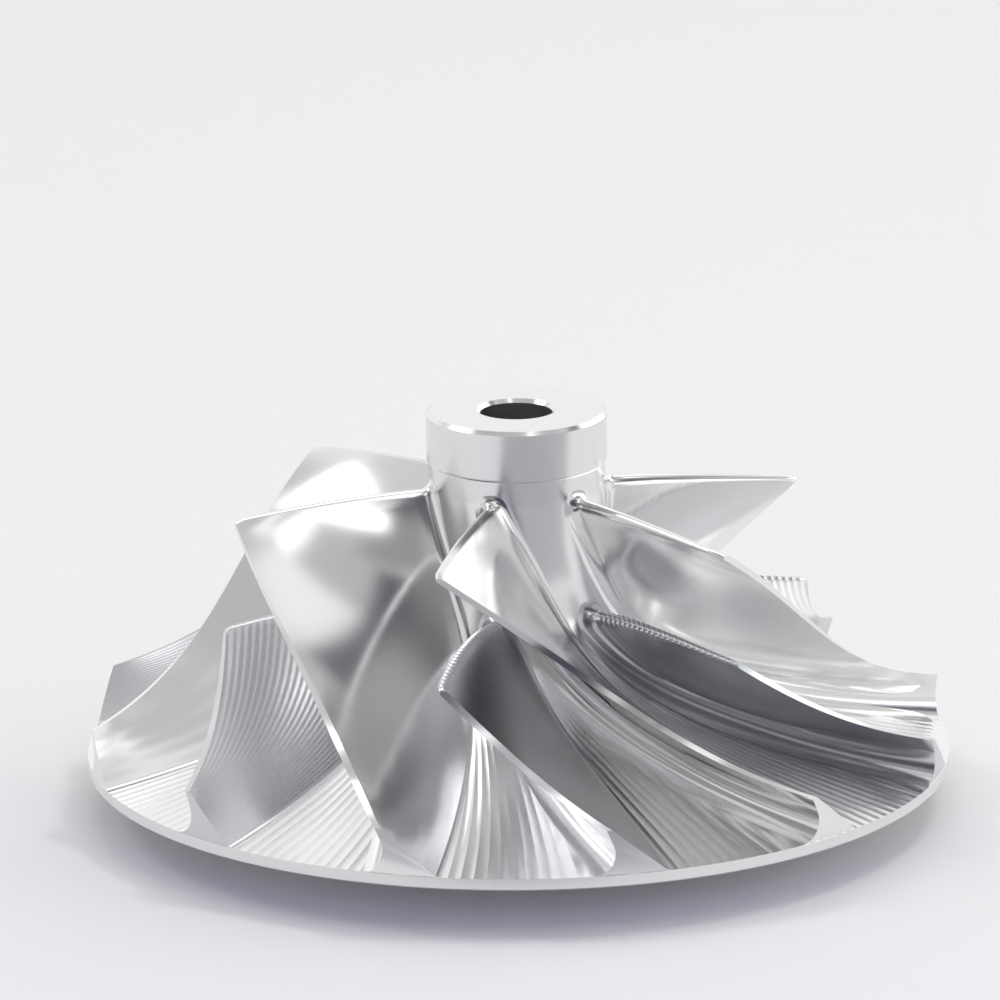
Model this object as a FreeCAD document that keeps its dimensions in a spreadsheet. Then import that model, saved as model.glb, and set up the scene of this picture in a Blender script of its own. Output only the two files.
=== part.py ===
import FreeCAD, Part
import math
import os
import Sketcher

# Compressor wheel, milled from one billet of aluminium. Millimetres, +Z up.
# It stands on its back boss (z = 0) with the nose up. The wheel turns about Z.

doc = FreeCAD.newDocument("compressor_wheel")
sheet = doc.addObject("Spreadsheet::Sheet", "Sizes")

SIZES = {
    # turned blank
    "outer_diameter": 76.2,
    "bore_diameter": 6.35,
    "bore_chamfer": 0.32,
    "nose_diameter": 15.84,
    "nose_chamfer": 0.45,
    "nose_length": 4.4,
    "neck_step": 0.17,
    "total_height": 35.9,
    "rim_thickness": 1.12,
    "back_depth": 4.0,
    "boss_diameter": 21.0,
    "boss_height": 1.1,
    "boss_chamfer": 0.3,
    "back_cone_foot": 1.9,
    "back_flat_width": 8.0,
    # hub curve between the neck and the rim: a cubic with a handle at each end
    "hub_start_drop": 6.7,
    "hub_neck_handle": 13.8,
    "hub_rim_handle": 30.3,
    "hub_rim_rise": 5.6,
    # casing curve, which the blade tips follow
    "inducer_diameter": 51.0,
    "inducer_drop": 8.15,
    "casing_neck_handle": 8.4,
    "casing_lean": 1.0,
    "casing_rim_handle": 10.6,
    "casing_rim_rise": 2.85,
    "exducer_width": 3.95,
    # wrap of a blade about the axis, in degrees, from its leading edge to the rim
    "hub_wrap_start": -17.5,
    "hub_wrap_early": 32.4,
    "hub_wrap_late": 45.4,
    "hub_wrap_end": 45.8,
    "tip_wrap_start": -16.2,
    "tip_wrap_early": 14.95,
    "tip_wrap_late": 31.0,
    "tip_wrap_end": 41.6,
    # blades
    "blade_count": 6,
    "splitter_start_hub": 0.295,
    "splitter_start_tip": 0.407,
    "root_thickness": 1.9,
    "rim_root_thickness": 2.8,
    "tip_thickness": 0.5,
    "nose_taper": 1.1,
    "edge_thickness": 0.2,
}

for row, (name, value) in enumerate(SIZES.items(), start=1):
    sheet.set("A%d" % row, name)
    sheet.set("B%d" % row, str(value))
    sheet.setAlias("B%d" % row, name)
doc.recompute()


def size(name):
    return float(sheet.get(name))


# Heights and radii that several pieces of the outline share, as sheet expressions
RIM = "Sizes.outer_diameter / 2"
BORE = "Sizes.bore_diameter / 2"
NOSE = "Sizes.nose_diameter / 2"
NECK = NOSE + " - Sizes.neck_step"
BOSS = "Sizes.boss_diameter / 2"
EYE = "Sizes.inducer_diameter / 2"
TOP = "Sizes.total_height"
NOSE_FOOT = TOP + " - Sizes.nose_length"
HUB_START = TOP + " - Sizes.hub_start_drop"
HUB_RIM = "Sizes.back_depth + Sizes.rim_thickness"
EYE_HEIGHT = TOP + " - Sizes.inducer_drop"
TIP_RIM = HUB_RIM + " + Sizes.exducer_width"

# Poles of the two flow curves, from the neck to the rim, as (radius, height)
HUB_CURVE = [
    (NECK, HUB_START),
    (NECK, HUB_START + " - Sizes.hub_neck_handle"),
    (RIM + " - Sizes.hub_rim_handle", HUB_RIM + " + Sizes.hub_rim_rise"),
    (RIM, HUB_RIM),
]
CASING_CURVE = [
    (EYE, EYE_HEIGHT),
    (EYE + " - Sizes.casing_lean", EYE_HEIGHT + " - Sizes.casing_neck_handle"),
    (RIM + " - Sizes.casing_rim_handle", TIP_RIM + " + Sizes.casing_rim_rise"),
    (RIM, TIP_RIM),
]


def measure(expression):
    return float(sheet.evalExpression(expression))


def point_of(pair):
    return FreeCAD.Vector(measure(pair[0]), measure(pair[1]), 0)


def place_point(sketch, geometry, end, pair):
    for kind, expression in zip(("DistanceX", "DistanceY"), pair):
        constraint = Sketcher.Constraint(kind, -1, 1, geometry, end, measure(expression))
        number = sketch.addConstraint(constraint)
        sketch.setExpression("Constraints[%d]" % number, expression)


def hold_handles(sketch, curve, poles):
    """Ties the inner poles of a cubic to the sheet through its control circles."""
    for number, pair in enumerate(poles):
        circle = Part.Circle(point_of(pair), FreeCAD.Vector(0, 0, 1), 1.0)
        handle = sketch.addGeometry(circle, True)
        sketch.addConstraint(Sketcher.Constraint("Weight", handle, 1.0))
        alignment = "InternalAlignment:Sketcher::BSplineControlPoint"
        sketch.addConstraint(Sketcher.Constraint(alignment, handle, 3, curve, number))
        if 0 < number < len(poles) - 1:
            place_point(sketch, handle, 3, pair)


def draw_revolved(name, outline):
    """A body turned about Z from an outline in the XZ plane.

    The outline lists corners as (radius, height) expressions. A corner written as a
    list of four such pairs is a cubic that starts at its first pair and ends at its last.
    """
    body = doc.addObject("PartDesign::Body", name)
    sketch = body.newObject("Sketcher::SketchObject", name + "_outline")
    plane = [f for f in body.Origin.OriginFeatures if f.Role == "XZ_Plane"][0]
    sketch.AttachmentSupport = [(plane, "")]
    sketch.MapMode = "FlatFace"

    starts = [step[0] if isinstance(step, list) else step for step in outline]
    for index, step in enumerate(outline):
        following = starts[(index + 1) % len(outline)]
        if isinstance(step, list):
            poles = [point_of(pair) for pair in step]
            curve = Part.BSplineCurve()
            curve.buildFromPolesMultsKnots(poles, [4, 4], [0.0, 1.0], False, 3)
            sketch.addGeometry(curve, False)
        else:
            sketch.addGeometry(Part.LineSegment(point_of(step), point_of(following)), False)
    count = len(outline)
    for index, step in enumerate(outline):
        after = (index + 1) % count
        sketch.addConstraint(Sketcher.Constraint("Coincident", index, 2, after, 1))
        place_point(sketch, index, 1, starts[index])
        if isinstance(step, list):
            hold_handles(sketch, index, step)
    doc.recompute()

    turning = body.newObject("PartDesign::Revolution", name + "_turning")
    turning.Profile = sketch
    turning.ReferenceAxis = (sketch, ["V_Axis"])
    turning.Angle = 360.0
    doc.recompute()
    return body


hub = draw_revolved("hub", [
    (BORE + " + Sizes.bore_chamfer", "0"),
    (BOSS + " - Sizes.boss_chamfer", "0"),
    (BOSS, "Sizes.boss_chamfer"),
    (BOSS, "Sizes.boss_height"),
    (BOSS + " + Sizes.back_cone_foot", "Sizes.boss_height"),
    (RIM + " - Sizes.back_flat_width", "Sizes.back_depth"),
    (RIM, "Sizes.back_depth"),
    HUB_CURVE[::-1],
    (NECK, HUB_START),
    (NECK, NOSE_FOOT),
    (NOSE, NOSE_FOOT),
    (NOSE, TOP + " - Sizes.nose_chamfer"),
    (NOSE + " - Sizes.nose_chamfer", TOP),
    (BORE + " + Sizes.bore_chamfer", TOP),
    (BORE, TOP + " - Sizes.bore_chamfer"),
    (BORE, "Sizes.bore_chamfer"),
])

# The blade blanks are turned to this outline, so their tips follow the casing
casing = draw_revolved("casing_contour", [
    (BORE, "Sizes.back_depth"),
    (RIM, "Sizes.back_depth"),
    CASING_CURVE[::-1],
    (EYE, EYE_HEIGHT),
    (EYE, TOP),
    (BORE, TOP),
])

# ---- blades ----

SINK = 0.6                # how far a blade root runs into the hub
OVERRUN = 0.8             # how far the stock stands past the casing outline
RIM_OVERRUN = 1.03        # where the stock ends, as a share of the way to the rim
FLOW_STEPS = (0.26, 0.5, 0.75, RIM_OVERRUN)
NUDGE = 0.002             # step along the flow that finds a direction

hub_poles = [point_of(pair) for pair in HUB_CURVE]
casing_poles = [point_of(pair) for pair in CASING_CURVE]
hub_wraps = [size("hub_wrap_" + part) for part in ("start", "early", "late", "end")]
tip_wraps = [size("tip_wrap_" + part) for part in ("start", "early", "late", "end")]


def cubic(poles, t):
    """A point of the cubic with these four poles, which may be numbers or vectors."""
    a, b, c, d = poles
    r = 1.0 - t
    return a * r ** 3 + b * (3 * r * r * t) + c * (3 * r * t * t) + d * t ** 3


def flow_point(poles, wraps, t):
    """A point on a flow curve, wrapped about the axis. Zero wrap faces -Y."""
    flat = cubic(poles, t)
    turn = math.radians(cubic(wraps, t))
    return FreeCAD.Vector(flat.x * math.sin(turn), -flat.x * math.cos(turn), flat.y)


def ends_of_span(start, share):
    """Root and tip of the blade at a share of its way from leading edge to rim."""
    hub_t = start[0] + (1.0 - start[0]) * share
    tip_t = start[1] + (1.0 - start[1]) * share
    return flow_point(hub_poles, hub_wraps, hub_t), flow_point(casing_poles, tip_wraps, tip_t)


def middle_point(start, share, height):
    root, tip = ends_of_span(start, share)
    return root + (tip - root) * (height / (tip - root).Length)


def across(start, share, height):
    """Unit direction through the blade's thickness."""
    along = middle_point(start, share + NUDGE, height) - middle_point(start, share - NUDGE, height)
    root, tip = ends_of_span(start, share)
    return along.cross(tip - root).normalize()


def blade_section(start, share, width=None):
    """Four corners across a blade: up one side and down the other.

    The blade thins from root to tip, unless one width is given for all of it.
    """
    root, tip = ends_of_span(start, share)
    length = (tip - root).Length
    foot = size("root_thickness") + (size("rim_root_thickness") - size("root_thickness")) * share
    taper = (foot - size("tip_thickness")) / length
    left = []
    right = []
    for height in (-SINK, length + OVERRUN):
        half = (width or foot - taper * height) / 2
        offset = across(start, share, height) * half
        left.append(middle_point(start, share, height) + offset)
        right.append(middle_point(start, share, height) - offset)
    return left + right[::-1]


def rail(points):
    curve = Part.BSplineCurve()
    curve.interpolate(points)
    return curve.toShape()


def blade_stock(start):
    """Solid with ruled sides between rails that run along the flow, and a thinned front."""
    reach = (ends_of_span(start, 1.0)[1] - ends_of_span(start, 0.0)[1]).Length
    shoulder = size("nose_taper") / reach
    front = blade_section(start, 0.0, size("edge_thickness"))
    sections = [blade_section(start, share) for share in (shoulder,) + FLOW_STEPS]
    bevels = [Part.makeLine(a, b) for a, b in zip(front, sections[0])]
    rails = [rail(list(points)) for points in zip(*sections)]
    faces = []
    for ring in (bevels, rails):
        for one, other in zip(ring, ring[1:] + ring[:1]):
            faces.append(Part.makeRuledSurface(one, other))
    for a, b, c, d in (front, sections[-1]):
        faces.append(Part.makeRuledSurface(Part.makeLine(a, b), Part.makeLine(d, c)))
    shell = Part.Shell(faces)
    shell.sewShape()
    solid = Part.Solid(shell)
    if solid.Volume < 0:
        solid.reverse()
    return solid


def add_blades(name, start, offset):
    """One blade, trimmed to the casing outline, and a feature that repeats it round the hub."""
    stock = doc.addObject("Part::Feature", name + "_stock")
    stock.Shape = blade_stock(start)
    blade = doc.addObject("Part::Common", name)
    blade.Base = stock
    blade.Tool = casing
    doc.recompute()
    count = int(size("blade_count"))
    copies = []
    for number in range(count):
        copy = blade.Shape.copy()
        turn = (number + offset) * 360.0 / count
        copy.rotate(FreeCAD.Vector(0, 0, 0), FreeCAD.Vector(0, 0, 1), turn)
        copies.append(copy)
    ring = doc.addObject("Part::Feature", name + "_ring")
    ring.Shape = Part.makeCompound(copies)
    return ring


full_blades = add_blades("full_blade", (0.0, 0.0), 0.0)
splitter_start = (size("splitter_start_hub"), size("splitter_start_tip"))
splitters = add_blades("splitter_blade", splitter_start, 0.5)

wheel = doc.addObject("Part::MultiFuse", "compressor_wheel")
wheel.Shapes = [hub, full_blades, splitters]
wheel.Refine = True
wheel.Label = "compressor_wheel"
wheel.Placement = FreeCAD.Placement()
doc.recompute()

for item in doc.Objects:
    if "Invalid" in item.State or "Error" in item.State:
        raise RuntimeError("%s did not build: %s" % (item.Name, item.State))
if wheel.Shape.isNull() or not wheel.Shape.isValid() or len(wheel.Shape.Solids) != 1:
    raise RuntimeError("compressor_wheel is not one sound solid")

os.makedirs("parts", exist_ok=True)
wheel.Shape.exportStep("parts/compressor_wheel.step")
print("compressor_wheel volume %.1f mm3" % wheel.Shape.Volume)
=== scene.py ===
import bpy
import math
import numpy as np
from mathutils import Matrix, Vector


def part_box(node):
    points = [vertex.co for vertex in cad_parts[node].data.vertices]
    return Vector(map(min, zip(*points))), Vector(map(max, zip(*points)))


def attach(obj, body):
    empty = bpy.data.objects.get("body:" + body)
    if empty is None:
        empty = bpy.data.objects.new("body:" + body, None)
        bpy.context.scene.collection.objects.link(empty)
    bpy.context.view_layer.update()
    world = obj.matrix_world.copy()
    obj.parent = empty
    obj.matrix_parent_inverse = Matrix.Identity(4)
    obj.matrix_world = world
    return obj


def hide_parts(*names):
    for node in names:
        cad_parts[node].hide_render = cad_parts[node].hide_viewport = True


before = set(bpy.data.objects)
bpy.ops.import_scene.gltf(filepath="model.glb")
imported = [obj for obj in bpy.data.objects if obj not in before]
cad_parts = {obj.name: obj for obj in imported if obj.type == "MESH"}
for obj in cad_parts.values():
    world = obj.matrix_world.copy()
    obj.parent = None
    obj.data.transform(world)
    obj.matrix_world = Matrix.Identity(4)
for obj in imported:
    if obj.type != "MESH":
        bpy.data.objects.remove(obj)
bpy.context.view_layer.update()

# The wheel's sizes are millimetres and become metres in its meshes.
mm = 0.001
boxLow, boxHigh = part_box("compressor_wheel")
rimRadius = boxHigh.x / mm
wheelHeight = boxHigh.z / mm
bladeCount = 6
sector = 360.0 / bladeCount
weldGap = 0.0005
smoothAngle = 28.0

# Flow curves run from the neck to the rim as (radius, height) poles, with their wrap in degrees.
rim = {"foot": 4.0, "top": 5.12}
hubFlow = {
    "poles": np.array([
        (7.75, wheelHeight - 6.7),
        (7.75, wheelHeight - 20.5),
        (7.8, rim["top"] + 5.6),
        (rimRadius, rim["top"]),
    ]),
    "wrap": [-17.5, 32.4, 45.4, 45.8],
}
casingFlow = {
    "poles": np.array([
        (25.5, wheelHeight - 8.15),
        (24.5, wheelHeight - 16.55),
        (27.5, rim["top"] + 6.8),
        (rimRadius, rim["top"] + 3.95),
    ]),
    "wrap": [-16.2, 14.95, 31.0, 41.6],
}


def cubic(poles, t):
    r = 1.0 - t
    return poles[0] * r**3 + 3 * poles[1] * r * r * t + 3 * poles[2] * r * t * t + poles[3] * t**3


def cubicSlope(poles, t):
    r = 1.0 - t
    start = poles[1] - poles[0]
    middle = poles[2] - poles[1]
    end = poles[3] - poles[2]
    return 3 * (r * r * start + 2 * r * t * middle + t * t * end)


# Zero wrap faces the front, which is -Y.
def flowPoint(flow, t):
    radius = cubic(flow["poles"][:, 0], t)
    height = cubic(flow["poles"][:, 1], t)
    turn = np.radians(cubic(flow["wrap"], t))
    return np.stack([radius * np.sin(turn), -radius * np.cos(turn), height], -1)


def unit(vectors):
    return vectors / np.linalg.norm(vectors, axis=-1, keepdims=True)


def radiusAndHeight(points):
    return np.stack([np.hypot(points[:, 0], points[:, 1]), points[:, 2]], -1)


# The twisted flow surfaces come from a formula, so a grid is laid over their points.
def gridMesh(name, points, uvs):
    rows, columns = points.shape[:2]
    bpy.ops.object.select_all(action="DESELECT")
    bpy.ops.mesh.primitive_grid_add(x_subdivisions=columns - 1, y_subdivisions=rows - 1, size=1.0)
    piece = bpy.context.object
    piece.name = name
    mesh = piece.data
    mesh.vertices.foreach_set("co", (points * mm).astype(np.float32).ravel())
    layer = mesh.uv_layers.active or mesh.uv_layers.new(name="UVMap")
    layer.name = "flow"
    corner = np.empty(len(mesh.loops), np.int32)
    mesh.loops.foreach_get("vertex_index", corner)
    layer.data.foreach_set("uv", uvs.reshape(-1, 2)[corner].astype(np.float32).ravel())
    mesh.update()
    return piece


# Welds the grid's borders where they meet.
def closeMesh(piece):
    bpy.ops.object.mode_set(mode="EDIT")
    bpy.ops.mesh.select_all(action="SELECT")
    bpy.ops.mesh.remove_doubles(threshold=weldGap * mm)
    bpy.ops.mesh.dissolve_degenerate(threshold=weldGap * mm / 2)
    bpy.ops.mesh.normals_make_consistent(inside=False)
    bpy.ops.object.mode_set(mode="OBJECT")


# sRGB hex becomes the linear colour that a shader takes.
def linear(hexColour):
    parts = [int(hexColour[i:i + 2], 16) / 255 for i in (1, 3, 5)]
    return tuple(c / 12.92 if c <= 0.04045 else ((c + 0.055) / 1.055) ** 2.4 for c in parts) + (1.0,)


def node(tree, kind, inputs=None, **settings):
    made = tree.nodes.new(kind)
    for key, value in settings.items():
        setattr(made, key, value)
    for key, value in (inputs or {}).items():
        if isinstance(value, bpy.types.NodeSocket):
            tree.links.new(value, made.inputs[key])
        else:
            made.inputs[key].default_value = value
    return made


def calculate(tree, operation, first, second=0.0):
    return node(tree, "ShaderNodeMath", {0: first, 1: second}, operation=operation).outputs[0]


def newMaterial(name, colour, roughness):
    material = bpy.data.materials.new(name)
    material.use_nodes = True
    shader = material.node_tree.nodes["Principled BSDF"]
    shader.inputs["Base Color"].default_value = linear(colour)
    shader.inputs["Roughness"].default_value = roughness
    return material, material.node_tree, shader


def bareMetal(name, colour, roughness):
    material, tree, shader = newMaterial(name, colour, roughness)
    shader.inputs["Metallic"].default_value = 1.0
    return material, tree, shader


# Fine rings round the axis lie a fixed pitch apart along the turned outline.
def turnedMetal(name, colour, roughness, ringPitch, ringHeight):
    material, tree, shader = bareMetal(name, colour, roughness)
    place = node(tree, "ShaderNodeUVMap", uv_map="flow").outputs[0]
    alongOutline = node(tree, "ShaderNodeSeparateXYZ", {"Vector": place}).outputs[1]
    phase = calculate(tree, "MULTIPLY", alongOutline, math.pi / ringPitch)
    rings = calculate(tree, "ABSOLUTE", calculate(tree, "SINE", phase))
    bump = node(tree, "ShaderNodeBump", {"Height": rings, "Distance": -ringHeight * mm, "Strength": 1.0})
    tree.links.new(bump.outputs[0], shader.inputs["Normal"])
    return material


# Blades: near mirrors, which show the studio in long soft shapes.
bladeMetal = bareMetal("milled aluminium, smooth blade", "#f4f4f4", 0.15)[0]
# Splitters: a little darker and duller, so that their fine tracks read as grey lines.
splitterMetal = bareMetal("milled aluminium, ridged splitter", "#dcdde0", 0.24)[0]
# Hub floor: bright, with the cutter's tracks as soft streaks.
floorMetal = bareMetal("milled aluminium, hub floor", "#f4f4f4", 0.17)[0]
# Nose, bore, rim edge and back: satin, with highlights spread by the lathe's rings.
turnedAluminium = turnedMetal("turned aluminium", "#eeeeee", 0.2, 0.12, 0.0005)
print("materials ready")


hub = {
    "bore": 3.175,
    "boreChamfer": 0.32,
    "nose": 7.92,
    "noseChamfer": 0.32,
    "noseFoot": wheelHeight - 4.4,
    "noseRound": 0.05,
    "neck": 7.75,
    "groove": {"depth": 0.06, "slope": 0.1, "start": 0.2},
    "boss": 10.5,
    "bossHeight": 1.1,
    "bossChamfer": 0.3,
    "bossFillet": [(0.0, 0.25), (0.1, 0.08), (0.3, 0.0)],
    "coneFoot": 12.4,
    "flatStart": rimRadius - 8.0,
    "rimBreak": 0.15,
    "rimBreakTop": 0.3,
    "ridgesPerPassage": 18,
    "samplesPerRidge": 4,
    "cutterRadius": 3.4,
    "flowRows": 44,
}


# Corners (radius, height) go round the section: back, rim edge, flow surface, nose and bore.
def hubOutline():
    corners = [
        (hub["bore"], hub["boreChamfer"]),
        (hub["bore"] + hub["boreChamfer"], 0.0),
        (hub["boss"] - hub["bossChamfer"], 0.0),
        (hub["boss"], hub["bossChamfer"]),
    ]
    for out, down in hub["bossFillet"]:
        corners.append((hub["boss"] + out, hub["bossHeight"] - down))
    corners += [
        (hub["coneFoot"], hub["bossHeight"]),
        (hub["flatStart"], rim["foot"]),
        (rimRadius - hub["rimBreak"], rim["foot"]),
        (rimRadius, rim["foot"] + hub["rimBreak"]),
        (rimRadius, rim["top"] - hub["rimBreakTop"]),
    ]
    firstFlow = len(corners)
    for t in np.linspace(1.0, 0.0, hub["flowRows"]):
        corners.append(tuple(cubic(hubFlow["poles"], t)))
    lastFlow = len(corners) - 1
    groove = hub["groove"]
    corners += [
        (hub["neck"], hub["noseFoot"] - groove["start"]),
        (hub["neck"] - groove["depth"], hub["noseFoot"] - groove["slope"]),
        (hub["neck"] - groove["depth"], hub["noseFoot"]),
        (hub["nose"] - hub["noseRound"], hub["noseFoot"]),
        (hub["nose"], hub["noseFoot"] + hub["noseRound"]),
        (hub["nose"], wheelHeight - hub["noseChamfer"]),
        (hub["nose"] - hub["noseChamfer"], wheelHeight),
        (hub["bore"] + hub["boreChamfer"], wheelHeight),
        (hub["bore"], wheelHeight - hub["boreChamfer"]),
        (hub["bore"], hub["boreChamfer"]),
    ]
    return np.array(corners), firstFlow, lastFlow


# Keeps a crease along the edges whose two ends are marked.
def markSharp(piece, marked):
    mesh = piece.data
    ends = np.empty(len(mesh.edges) * 2, np.int32)
    mesh.edges.foreach_get("vertices", ends)
    crease = mesh.attributes.get("sharp_edge") or mesh.attributes.new("sharp_edge", "BOOLEAN", "EDGE")
    crease.data.foreach_set("value", marked[ends[0::2]] & marked[ends[1::2]])


def buildHub():
    outline, first, last = hubOutline()
    ridges = hub["ridgesPerPassage"] * 2 * bladeCount
    samples = hub["samplesPerRidge"]
    columns = ridges * samples + 1
    turn = np.linspace(0.0, 360.0, columns)
    phase = (np.arange(columns) % samples) / samples
    scallop = (2 * phase - 1) ** 2
    run = np.concatenate([[0.0], np.cumsum(np.hypot(*np.diff(outline, axis=0).T))])
    share = np.clip((last - np.arange(len(outline))) / (last - first), 0.0, 1.0)
    points = np.zeros((len(outline), columns, 3))
    uvs = np.zeros((len(outline), columns, 2))
    for row, (radius, height) in enumerate(outline):
        angle = np.radians(turn + cubic(hubFlow["wrap"], share[row]))
        cut = np.zeros(columns)
        outward = np.zeros(2)
        if first <= row < last:
            # a ball cutter leaves shallow round tracks with sharp crests between them
            pitch = 2 * math.pi * radius / ridges
            slope = cubicSlope(hubFlow["poles"], share[row])
            outward = np.array([-slope[1], slope[0]]) / np.hypot(*slope)
            cut = (scallop - 1.0) * pitch**2 / (8 * hub["cutterRadius"])
        if row == first:
            # the rim keeps its radius
            outward[0] = 0.0
        cutRadius = radius + outward[0] * cut
        points[row, :, 0] = cutRadius * np.sin(angle)
        points[row, :, 1] = -cutRadius * np.cos(angle)
        points[row, :, 2] = height + outward[1] * cut
        uvs[row, :, 0] = np.radians(turn) * radius
        uvs[row, :, 1] = run[row]
    piece = gridMesh("hub", points, uvs)
    piece.data.materials.append(turnedAluminium)
    piece.data.materials.append(floorMetal)
    quadRows = np.arange(len(piece.data.polygons)) // (columns - 1)
    inFlow = (quadRows >= first) & (quadRows < last)
    piece.data.polygons.foreach_set("material_index", inFlow.astype(np.int32))
    crests = np.zeros(points.shape[:2], bool)
    crests[first:last, ::samples] = True
    markSharp(piece, crests.ravel())
    closeMesh(piece)
    return piece


# Pairs go from the front edge to the rim, and low and high are the blade's two sides.
blade = {
    "tip": (0.62, 0.42),
    "rootLow": (0.72, 1.25),
    "rootHigh": (0.72, 2.35),
    "filletLow": (1.1, 1.8),
    "filletHigh": (0.9, 0.9),
    "sink": 0.5,
    "noseSteps": 6,
    "noseLength": 1.25,
    "arcSteps": 6,
    "arcMargin": 1.001,
    "samplesPerTrack": 4,
    "trackPower": 1.2,
    "trackFade": 0.3,
    "insideRim": 0.02,
}
# Starts are shares of the flow at the hub and at the casing.
fullBlade = {
    "start": (0.0, 0.0),
    "tracks": 5,
    "crest": 0.011,
    "smoothUntil": 0.55,
    "beads": 0.0,
    "bulge": 0.35,
    "corner": 0.3,
    "flowSteps": 44,
}
splitter = {
    "start": (0.295, 0.407),
    "tracks": 26,
    "crest": 0.06,
    "smoothUntil": -1.0,
    "beads": 0.15,
    "bulge": 0.9,
    "corner": 0.4,
    "flowSteps": 34,
}
stationStep = 0.002
nudge = 0.01
uvLength = 40.0
profileSteps = 600
hubProfile = cubic(hubFlow["poles"], np.linspace(0, 1, profileSteps)[:, None])


# Thickness changes little at the front and most toward the rim.
def mix(pair, share):
    return pair[0] + (pair[1] - pair[0]) * share**2


def flowShare(kind, end, share):
    return kind["start"][end] + (1 - kind["start"][end]) * share


def spanEnds(kind, share):
    foot = flowPoint(hubFlow, flowShare(kind, 0, share))
    top = flowPoint(casingFlow, flowShare(kind, 1, share))
    return foot, top


# Height of points over the hub's flow surface, and the way up from it.
def floorGap(points):
    flat = radiusAndHeight(points)
    away = flat[:, None] - hubProfile[None]
    near = np.argmin((away**2).sum(-1), axis=1)
    near = np.clip(near, 1, len(hubProfile) - 2)
    run = unit(hubProfile[near + 1] - hubProfile[near - 1])
    up = np.stack([-run[:, 1], run[:, 0]], -1)
    gap = ((flat - hubProfile[near]) * up).sum(-1)
    radial = points[:, :2] / flat[:, :1]
    return gap, np.concatenate([radial * up[:, :1], up[:, 1:]], -1)


# The blade's middle surface at each station along the flow, measured from the floor under it.
def stationFrame(kind, share):
    foot, top = spanEnds(kind, share)
    ahead = spanEnds(kind, share + stationStep)
    behind = spanEnds(kind, share - stationStep)
    slope = unit(cubicSlope(hubFlow["poles"], flowShare(kind, 0, share)[:, None]))
    radial = foot[:, :2] / np.hypot(foot[:, 0], foot[:, 1])[:, None]
    up = np.concatenate([radial * -slope[:, 1:], slope[:, :1]], -1)
    across = unit(np.cross(up, unit(ahead[0] - behind[0])))
    span = top - foot
    return {
        "foot": foot,
        "top": top,
        "span": span,
        "across": across,
        "lean": (span * across).sum(-1),
        "rise": (span * up).sum(-1),
        "length": np.linalg.norm(span, axis=-1),
        "footTravel": ahead[0] - behind[0],
        "topTravel": ahead[1] - behind[1],
    }


# One level of one side: the fillet's round at the root, or the wall with the cutter's tracks.
def levelSection(kind, side, at, share, shape, part, level):
    root = blade["rootHigh"] if side > 0 else blade["rootLow"]
    filletEnds = blade["filletHigh"] if side > 0 else blade["filletLow"]
    inside = np.clip(share, 0, 1)
    tipHalf = mix(blade["tip"], inside) / 2 / np.cos(np.arctan2(at["lean"], at["rise"]))
    rootHalf = mix(root, inside)
    fillet = mix(filletEnds, inside)
    tipSide = side * at["lean"] + tipHalf
    tilt = np.arctan2(tipSide - rootHalf, at["rise"]) * shape
    arcEnd = fillet * (1 + np.sin(tilt))
    centre = rootHalf + fillet * (1 + np.sin(tilt)) / np.cos(tilt)
    arcSide = centre - fillet * np.cos(tilt)
    flare = 0.0 * shape
    depth = 0.0 * shape
    bead = 0.0
    if part in ("foot", "fillet"):
        bend = level * (math.pi / 2 + tilt)
        height = fillet * (1 - np.cos(bend))
        wide = centre - fillet * np.sin(bend)
        flare = wide - (rootHalf + (arcSide - rootHalf) * height / arcEnd)
    else:
        height = arcEnd + (at["rise"] - arcEnd) * level
        wide = arcSide + (tipSide - arcSide) * (height - arcEnd) / (at["rise"] - arcEnd)
        # rounded tracks run along the flow and crowd together toward the rim
        ripple = 1 - (2 * ((level * kind["tracks"]) % 1.0) - 1) ** 2
        pitch = at["length"] * (1 - arcEnd / at["rise"]) / kind["tracks"]
        fade = np.clip((share - kind["smoothUntil"]) / blade["trackFade"], 0.0, 1.0)
        depth = kind["crest"] * pitch ** blade["trackPower"] * ripple * fade
        bead = kind["beads"] * ripple
    climb = height / at["rise"]
    half = wide - side * at["lean"] * climb
    return {
        "height": height,
        "climb": climb,
        "half": half,
        "flare": flare,
        "depth": depth,
        "bead": bead,
        "arcEnd": arcEnd,
    }


# The front edge is rounded and bows out, and its corner at the tip is rounded too.
def sharesAlong(kind, at, cut, travel, back):
    speed = np.linalg.norm(travel, axis=-1) / (2 * stationStep)
    front = blade["noseLength"] * (cut["half"] - cut["flare"])
    nose = (front - (front + cut["flare"] - cut["bead"]) * back) / speed
    climb = cut["climb"][0]
    over = np.clip(at["length"][0] * (climb - 1) + kind["corner"], 0, kind["corner"])
    corner = kind["corner"] - math.sqrt(kind["corner"] ** 2 - over**2)
    nose = nose + (corner - kind["bulge"] * 4 * climb * (1 - climb)) / speed[0]
    last = blade["noseSteps"]
    return np.concatenate([nose[:last + 1], np.linspace(nose[last], 1.0, kind["flowSteps"] + 1)[1:]])


# Slides the tip along the blade's height until it lies on the casing curve.
def followCasing(kind, at, share, place):
    upward = unit(at["span"])
    slope = cubicSlope(casingFlow["poles"], flowShare(kind, 1, share)[:, None])
    normal = unit(np.stack([-slope[:, 1], slope[:, 0]], -1))
    goal = radiusAndHeight(at["top"])
    for attempt in range(2):
        flat = radiusAndHeight(place)
        nudged = radiusAndHeight(place + upward * nudge)
        gap = ((flat - goal) * normal).sum(-1)
        rate = ((nudged - flat) * normal).sum(-1) / nudge
        place = place - upward * (gap / rate)[:, None]
    return place


def reachRadius(point, run, goal):
    for attempt in range(3):
        radius = np.hypot(point[0], point[1])
        rate = (run[0] * point[0] + run[1] * point[1]) / radius
        point = point + run * (goal - radius) / rate
    return point


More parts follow.
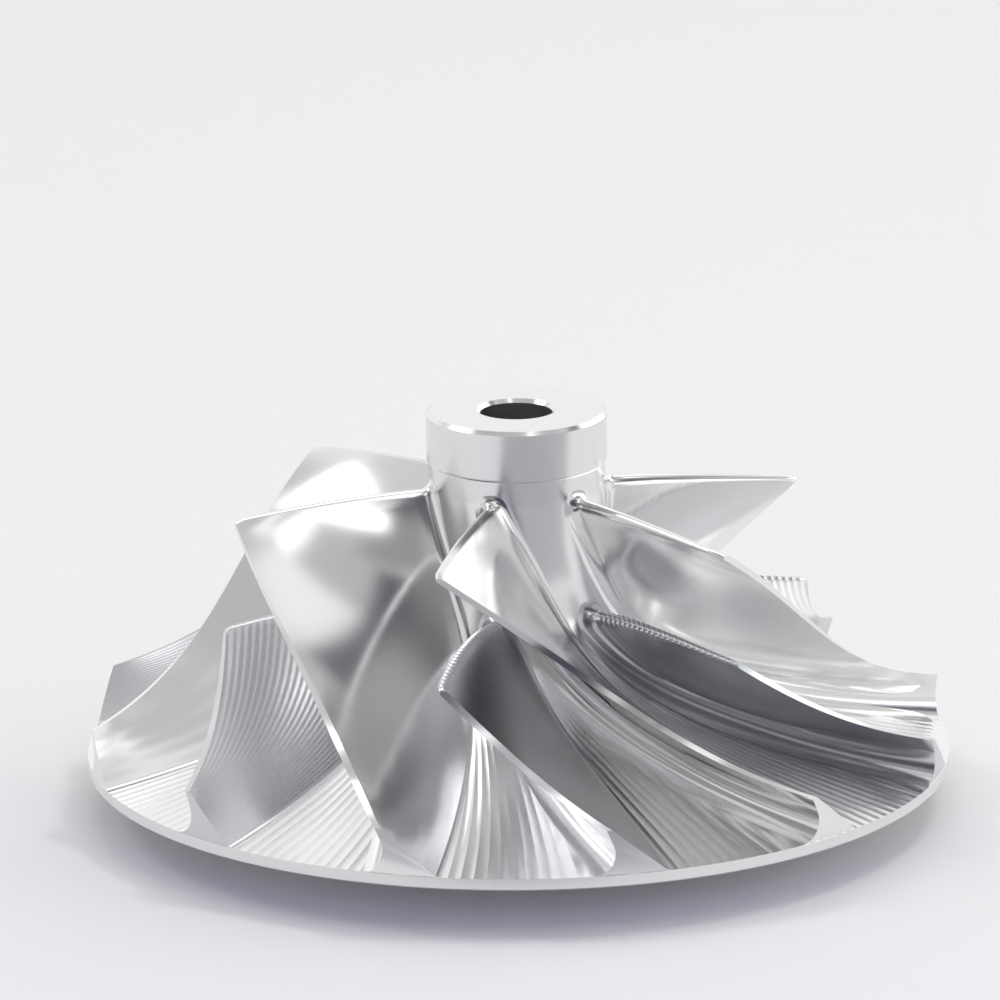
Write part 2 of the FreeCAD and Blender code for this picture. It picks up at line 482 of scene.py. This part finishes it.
# Levels go up from a foot inside the hub, and columns from the front edge to the rim.
def bladeSide(kind, side):
    arc = np.linspace(0.0, 1.0, blade["arcSteps"] + 1)
    wall = np.linspace(0.0, 1.0, kind["tracks"] * blade["samplesPerTrack"] + 1)[1:]
    levels = [("foot", 0.0)]
    levels += [("fillet", level) for level in arc]
    levels += [("wall", level) for level in wall[:-1]]
    levels += [("tip", wall[-1])]
    noseTurn = np.linspace(0, math.pi / 2, blade["noseSteps"] + 1)
    shape = np.concatenate([np.sin(noseTurn), np.ones(kind["flowSteps"])])
    back = np.concatenate([np.cos(noseTurn), np.zeros(kind["flowSteps"])])
    points = np.zeros((len(levels), len(shape), 3))
    uvs = np.zeros((len(levels), len(shape), 2))
    for row, (part, level) in enumerate(levels):
        share = np.zeros(len(shape))
        # the stations and the thickness depend on each other, and settle in three rounds
        for attempt in range(3):
            at = stationFrame(kind, share)
            cut = levelSection(kind, side, at, share, shape, part, level)
            climb = cut["climb"][:, None]
            travel = at["footTravel"] * (1 - climb) + at["topTravel"] * climb
            share = sharesAlong(kind, at, cut, travel, back)
        aside = side * (cut["half"] - cut["depth"]) * shape
        place = at["foot"] + at["span"] * climb + at["across"] * aside[:, None]
        if part in ("foot", "fillet"):
            # the fillet starts on the floor itself, and the foot lies under it
            gap, lift = floorGap(place)
            want = cut["height"] - (blade["sink"] if part == "foot" else 0.0)
            climbed = cut["height"] / (cut["arcEnd"] * blade["arcMargin"])
            fade = (1 - climbed) ** 0.5
            place = place + lift * ((want - gap) * fade)[:, None]
        if part == "tip":
            place = followCasing(kind, at, share, place)
        goal = rimRadius - (blade["insideRim"] if part == "foot" else 0.0)
        place[-1] = reachRadius(place[-1], unit(travel)[-1], goal)
        points[row] = place
        uvs[row, :, 0] = share * uvLength
        uvs[row, :, 1] = cut["climb"] * at["length"]
    return points, uvs


def buildBlade(name, kind, material):
    lowSide, lowUv = bladeSide(kind, -1.0)
    highSide, highUv = bladeSide(kind, 1.0)
    # the two sides share a column at the front edge, and close on a middle column at the rim
    front = (lowSide[:, :1] + highSide[:, :1]) / 2
    points = np.concatenate([lowSide[:, :0:-1], front, highSide[:, 1:]], axis=1)
    uvs = np.concatenate([lowUv[:, ::-1], highUv[:, 1:]], axis=1)
    rimEnd = (points[:, :1] + points[:, -1:]) / 2
    radius = np.hypot(rimEnd[1:, :, 0], rimEnd[1:, :, 1])
    rimEnd[1:, :, :2] *= (rimRadius / radius)[..., None]
    rimUv = (uvs[:, :1] + uvs[:, -1:]) / 2
    points = np.concatenate([rimEnd, points, rimEnd], axis=1)
    uvs = np.concatenate([rimUv, uvs, rimUv], axis=1)
    foot = (points[:1] + points[:1, ::-1]) / 2
    top = (points[-1:] + points[-1:, ::-1]) / 2
    points = np.concatenate([foot, points, top], axis=0)
    uvs = np.concatenate([uvs[:1], uvs, uvs[-1:]], axis=0)
    piece = gridMesh(name, points, uvs)
    piece.data.materials.append(material)
    closeMesh(piece)
    return piece


# Blades stay at the origin, with their place in the mesh.
def repeatRound(first, offset):
    made = []
    for number in range(bladeCount):
        copy = first.copy()
        copy.data = first.data.copy()
        bpy.context.collection.objects.link(copy)
        copy.data.transform(Matrix.Rotation(math.radians(sector * (number + offset)), 4, "Z"))
        made.append(copy)
    bpy.data.objects.remove(first)
    return made


def finishPiece(name, parts):
    bpy.ops.object.select_all(action="DESELECT")
    for part in parts:
        part.select_set(True)
    bpy.context.view_layer.objects.active = parts[0]
    if len(parts) > 1:
        bpy.ops.object.join()
    piece = bpy.context.view_layer.objects.active
    piece.name = name
    bpy.ops.object.shade_smooth_by_angle(angle=math.radians(smoothAngle))
    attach(piece, "root")
    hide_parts("compressor_wheel")
    print(name, len(piece.data.polygons), "faces")


wheelHub = buildHub()
fullBlades = repeatRound(buildBlade("blade", fullBlade, bladeMetal), 0.0)
splitters = repeatRound(buildBlade("splitter", splitter, splitterMetal), 0.5)
finishPiece("wheel_hub", [wheelHub])
finishPiece("full_blades", fullBlades)
finishPiece("splitter_blades", splitters)


# Zones of light round the wheel: azimuth 0 is the camera's side and 90 the right, with elevation
# over the floor, all in degrees. Later zones lie over earlier ones. Other sizes are metres.
allRound = (-190, 190)
studio = {
    "floor": 3.0,
    "floorPlace": (0.0, 0.6, 0.0),
    "floorLift": 0.05,
    "backdrop": "#efefef",
    "ceiling": ("#ffffff", 0.5),
    "zones": [
        # the pale backdrop, and the paler walls to the left and right
        {"azimuth": (125, 235), "elevation": (-90, 42), "soft": 8, "colour": "#ffffff", "strength": 0.97},
        {"azimuth": (-125, -78), "elevation": (-20, 40), "soft": 6, "colour": "#ffffff", "strength": 0.65},
        {"azimuth": (34, 66), "elevation": (-20, 38), "soft": 4, "colour": "#ffffff", "strength": 0.72},
        # the dark room behind the camera
        {"azimuth": (-78, 60), "elevation": (36, 58), "soft": 5, "colour": "#ffffff", "strength": 0.3},
        {"azimuth": (-78, 34), "elevation": (-3, 38), "soft": 5, "colour": "#ffffff", "strength": 0.28},
        {"azimuth": (-80, -52), "elevation": (-3, 24), "soft": 4, "colour": "#ffffff", "strength": 0.75},
        {"azimuth": (6, 34), "elevation": (34, 58), "soft": 5, "colour": "#e8ecfa", "strength": 0.13},
        {"azimuth": (-58, -27), "elevation": (29, 45), "soft": 3, "colour": "#dcdcf4", "strength": 0.13},
        {"azimuth": (-24, 2), "elevation": (34, 46), "soft": 4, "colour": "#ffffff", "strength": 0.5},
        {"azimuth": (-24, 30), "elevation": (-5, 29), "soft": 7, "colour": "#dcd8f4", "strength": 0.1},
        # the window on the right, with a dark blind above it
        {"azimuth": (62, 150), "elevation": (14, 42), "soft": 3, "colour": "#fffffa", "strength": 2.0},
        {"azimuth": (82, 104), "elevation": (8, 20), "soft": 3, "colour": "#e6ecfc", "strength": 0.6},
        {"azimuth": (60, 94), "elevation": (33, 44), "soft": 4, "colour": "#f0f4ff", "strength": 0.62},
        {"azimuth": (92, 126), "elevation": (50, 76), "soft": 6, "colour": "#ffffff", "strength": 0.95},
        {"azimuth": (64, 124), "elevation": (42, 51.5), "soft": 1.5, "colour": "#e0e0f6", "strength": 0.13},
        # softboxes high on the left and behind, and strip lights over the wheel
        {"azimuth": (-123, -92), "elevation": (42, 56), "soft": 3, "colour": "#ffffff", "strength": 4.0},
        {"azimuth": (150, 222), "elevation": (54, 72), "soft": 4, "colour": "#ffffff", "strength": 2.2},
        {"azimuth": (-38, 6), "elevation": (55, 62), "soft": 3, "colour": "#ffffff", "strength": 2.2},
        {"azimuth": (32, 42), "elevation": (50, 74), "soft": 3, "colour": "#ffffff", "strength": 2.5},
        {"azimuth": (34, 96), "elevation": (73, 80), "soft": 4, "colour": "#ffffff", "strength": 1.7},
        {"azimuth": (98, 132), "elevation": (79.5, 85), "soft": 2, "colour": "#ffffff", "strength": 1.2},
        {"azimuth": allRound, "elevation": (85, 95), "soft": 2, "colour": "#ffffff", "strength": 0.9},
    ],
}


# 1 inside the span and 0 outside it, with soft ends.
def between(tree, value, span, soft):
    opening = {"Value": value, "From Min": span[0] - soft, "From Max": span[0] + soft}
    closing = {"Value": value, "From Min": span[1] + soft, "From Max": span[1] - soft}
    rising = node(tree, "ShaderNodeMapRange", opening, interpolation_type="SMOOTHSTEP").outputs[0]
    falling = node(tree, "ShaderNodeMapRange", closing, interpolation_type="SMOOTHSTEP").outputs[0]
    return calculate(tree, "MULTIPLY", rising, falling)


def glow(colour, strength):
    return [channel * strength for channel in linear(colour)[:3]] + [1.0]


# The light that stands in each direction from the wheel, and that its metal shows.
def studioLight(tree):
    way = node(tree, "ShaderNodeTexCoord").outputs["Generated"]
    right, away, up = node(tree, "ShaderNodeSeparateXYZ", {0: way}).outputs
    turn = calculate(tree, "ARCTAN2", right, calculate(tree, "MULTIPLY", away, -1.0))
    azimuth = calculate(tree, "DEGREES", turn)
    elevation = calculate(tree, "DEGREES", calculate(tree, "ARCSINE", up))
    # the zones behind the wheel run on over the half turn, so theirs goes from -55 to 305 degrees
    onward = node(tree, "ShaderNodeMath", {0: azimuth, 1: 305.0, 2: -55.0}, operation="WRAP").outputs[0]
    light = glow(*studio["ceiling"])
    for zone in studio["zones"]:
        reading = onward if zone["azimuth"][1] > allRound[1] else azimuth
        across = between(tree, reading, zone["azimuth"], zone["soft"])
        over = between(tree, elevation, zone["elevation"], zone["soft"])
        mask = calculate(tree, "MULTIPLY", across, over)
        patch = glow(zone["colour"], zone["strength"])
        light = node(tree, "ShaderNodeMix", {0: mask, 6: light, 7: patch}, data_type="RGBA").outputs[2]
    return light


# Matt and pale, so that the soft shadow shows on it. A small lift for the camera whitens it.
def floorMaterial():
    material, tree, shader = newMaterial("pale studio floor", "#eeeeeb", 0.9)
    shader.inputs["Specular IOR Level"].default_value = 0.2
    shader.inputs["Emission Color"].default_value = linear("#f2eeff")
    seen = node(tree, "ShaderNodeLightPath").outputs["Is Camera Ray"]
    tree.links.new(calculate(tree, "MULTIPLY", seen, studio["floorLift"]), shader.inputs["Emission Strength"])
    return material


def stagePlane(name, place, size, material):
    bpy.ops.object.select_all(action="DESELECT")
    bpy.ops.mesh.primitive_plane_add(size=1.0)
    plane = bpy.context.object
    plane.name = name
    plane.data.transform(Matrix.Translation(place) @ Matrix.Diagonal((size[0], size[1], 1.0, 1.0)))
    plane.data.materials.append(material)
    return plane


stagePlane("studio_floor", studio["floorPlace"], (studio["floor"], studio["floor"]), floorMaterial())

world = bpy.data.worlds.new("studio")
bpy.context.scene.world = world
world.use_nodes = True
sky = world.node_tree
backdrop = node(sky, "ShaderNodeBackground", {"Color": linear(studio["backdrop"]), "Strength": 1.0})
lighting = node(sky, "ShaderNodeBackground", {"Color": studioLight(sky), "Strength": 1.0})
path = node(sky, "ShaderNodeLightPath")
either = node(sky, "ShaderNodeMixShader", {
    0: path.outputs["Is Camera Ray"],
    1: lighting.outputs[0],
    2: backdrop.outputs[0],
})
sky.links.new(either.outputs[0], sky.nodes["World Output"].inputs["Surface"])

# Lamps light the floor and cast the shadow. The metal shows the zones instead.
lamps = {
    "key_softbox": {"place": (0.25, 0.12, 0.6), "size": (0.14, 0.1), "power": 0.5, "colour": "#ffffff"},
    "front_fill": {"place": (0.0, -0.7, 0.35), "size": (0.6, 0.3), "power": 1.1, "colour": "#a89cff"},
}
for name, lamp in lamps.items():
    bpy.ops.object.light_add(type="AREA", location=lamp["place"])
    softbox = bpy.context.object
    softbox.name = name
    softbox.data.shape = "RECTANGLE"
    softbox.data.size = lamp["size"][0]
    softbox.data.size_y = lamp["size"][1]
    softbox.data.energy = lamp["power"]
    softbox.data.color = linear(lamp["colour"])[:3]
    softbox.visible_camera = False
    softbox.visible_glossy = False
    softbox.rotation_mode = "QUATERNION"
    softbox.rotation_quaternion = (-Vector(lamp["place"])).to_track_quat("-Z", "Y")

# A matt grey card before the wheel darkens the front of its turned nose. Only the metal shows it.
frontCard = {"place": (0.06, -0.32, 0.001), "size": (0.2, 0.54)}
cardMaterial = newMaterial("grey studio card", "#b4b4b4", 1.0)[0]
card = stagePlane("front_card", frontCard["place"], frontCard["size"], cardMaterial)
card.visible_camera = False
card.visible_diffuse = False
card.visible_shadow = False
print("studio ready")

camera = {
    "place": (0.0, -0.8021, 0.2569),
    "pitch": 15.954,
    "yaw": -0.106,
    "roll": -0.438,
    "lens": 341.9,
    "sensor": 36.0,
    "clip": (0.05, 20.0),
}
bpy.ops.object.camera_add()
eye = bpy.context.object
eye.name = "photo_camera"
eye.data.sensor_width = camera["sensor"]
eye.data.lens = camera["lens"]
eye.data.clip_start = camera["clip"][0]
eye.data.clip_end = camera["clip"][1]
turnDown = Matrix.Rotation(math.radians(90 - camera["pitch"]), 4, "X")
turnSide = Matrix.Rotation(math.radians(-camera["yaw"]), 4, "Z")
turnRoll = Matrix.Rotation(math.radians(camera["roll"]), 4, "Z")
eye.matrix_world = Matrix.Translation(camera["place"]) @ turnSide @ turnDown @ turnRoll
bpy.context.scene.camera = eye
bpy.context.scene.view_settings.view_transform = "Standard"
print("camera ready")
